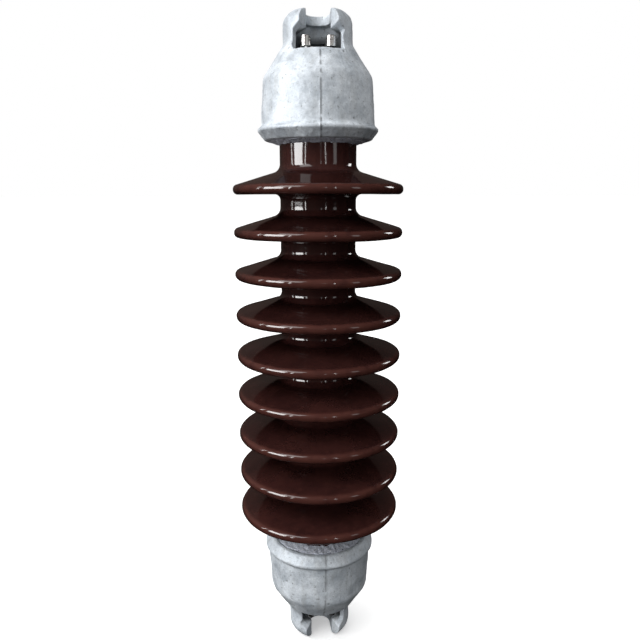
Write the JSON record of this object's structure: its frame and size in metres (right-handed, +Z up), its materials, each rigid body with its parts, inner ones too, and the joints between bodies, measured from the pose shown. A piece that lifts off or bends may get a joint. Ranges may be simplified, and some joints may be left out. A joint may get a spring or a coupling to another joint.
{
  "type": "long-rod porcelain suspension insulator",
  "caption": "Long-rod suspension insulator: glazed porcelain rod with disc-shaped sheds and a cemented ball-socket cap with a sliding W-shaped security clip at each end.",
  "frame": {"origin": "on the rod's axis, at the level of the lower cap's lug ends", "axes": "+Z up along the rod; both sockets open towards -Y; +X to the right as seen from the socket openings"},
  "size_m": [0.145, 0.145, 0.56],
  "materials": {
    "glaze": "dark chocolate-brown gloss glaze over porcelain, lighter red-brown where it runs thin on the rims",
    "galvanised_iron": "hot-dip galvanised malleable iron, matt zinc with casting grain and a parting line",
    "cement": "rough Portland cement mortar, grey with dark specks",
    "bitumen": "black bitumen coat",
    "porcelain_grit": "coarse crushed porcelain bonded to the shank",
    "felt": "bitumen-soaked felt",
    "clip_steel": "bright drawn stainless strip"
  },
  "bodies": {
    "insulator": {"porcelain_body": "glaze", "upper_cap": "galvanised_iron", "lower_cap": "galvanised_iron", "upper_cement": "cement", "lower_cement": "cement", "upper_cap_coat": "bitumen", "lower_cap_coat": "bitumen", "upper_shank_coat": "bitumen", "lower_shank_coat": "bitumen", "upper_grit_band": "porcelain_grit", "lower_grit_band": "porcelain_grit", "upper_cushion_disc": "felt", "lower_cushion_disc": "felt"},
    "upper_clip": {"upper_w_clip": "clip_steel"},
    "lower_clip": {"lower_w_clip": "clip_steel"}
  },
  "joints": [
    {"name": "upper_clip_slide", "type": "slide", "parent": "insulator", "child": "upper_clip", "axis": [-0.0349, 0.9994, 0], "range_m": [0, 0.033]},
    {"name": "lower_clip_slide", "type": "slide", "parent": "insulator", "child": "lower_clip", "axis": [-0.1392, 0.9903, 0], "range_m": [0, 0.033]}
  ]
}
